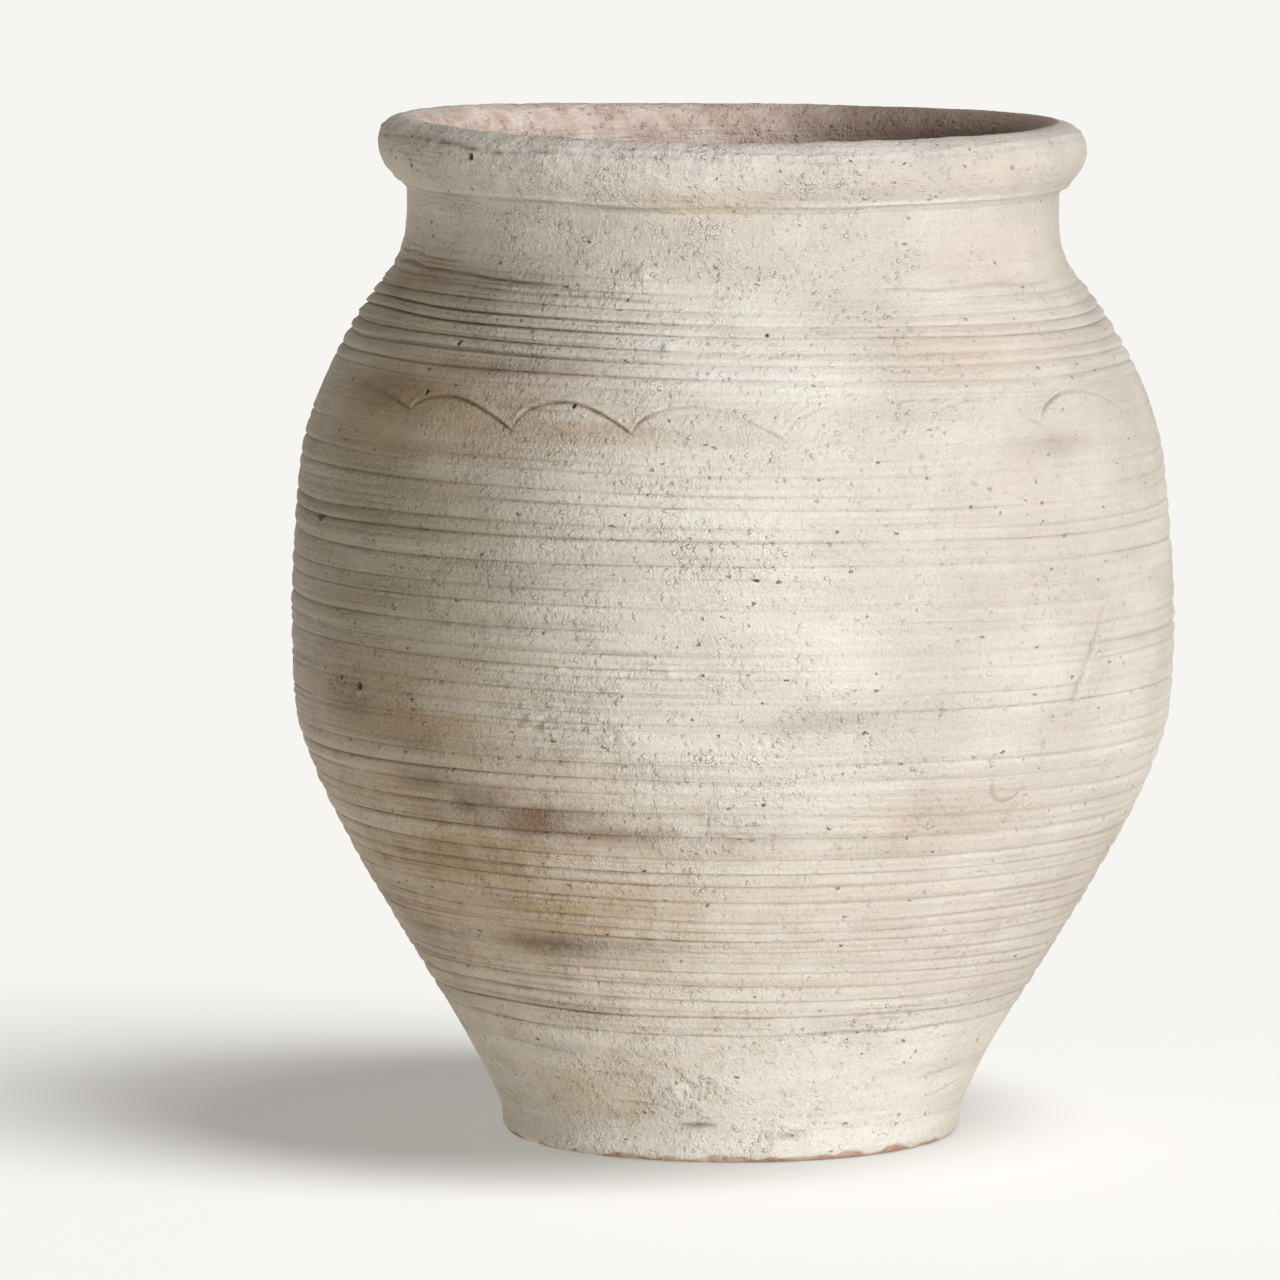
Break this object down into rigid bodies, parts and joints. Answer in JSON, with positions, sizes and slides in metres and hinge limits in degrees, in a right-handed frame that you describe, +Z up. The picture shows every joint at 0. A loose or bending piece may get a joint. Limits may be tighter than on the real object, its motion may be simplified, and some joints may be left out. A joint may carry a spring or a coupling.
{
  "type": "clay jar",
  "caption": "Large round-bellied clay storage jar with a narrow flat foot, ridged thrown wall, short neck, rolled rim and an incised scallop garland on the shoulder.",
  "frame": {"origin": "centre of the flat base, on the surface that the jar stands on", "axes": "+Z up along the jar's axis, through the mouth; the jar is round, and the picture looks along +Y"},
  "size_m": [0.3926, 0.3926, 0.45],
  "materials": {
    "lime_slip": "matt fired clay under a pale, sandy lime slip",
    "worn_slip": "matt fired clay, its pale slip smoothed thin and chipped at the edge",
    "bare_clay": "bare matt fired clay"
  },
  "bodies": {
    "root": {"base_slab": "worn_slip", "floor_coil": "bare_clay", "foot_band": "worn_slip", "lower_wall": "lime_slip", "belly_wall": "lime_slip", "shoulder_wall": "lime_slip", "neck_collar": "lime_slip", "rim_roll": "lime_slip"}
  },
  "joints": []
}
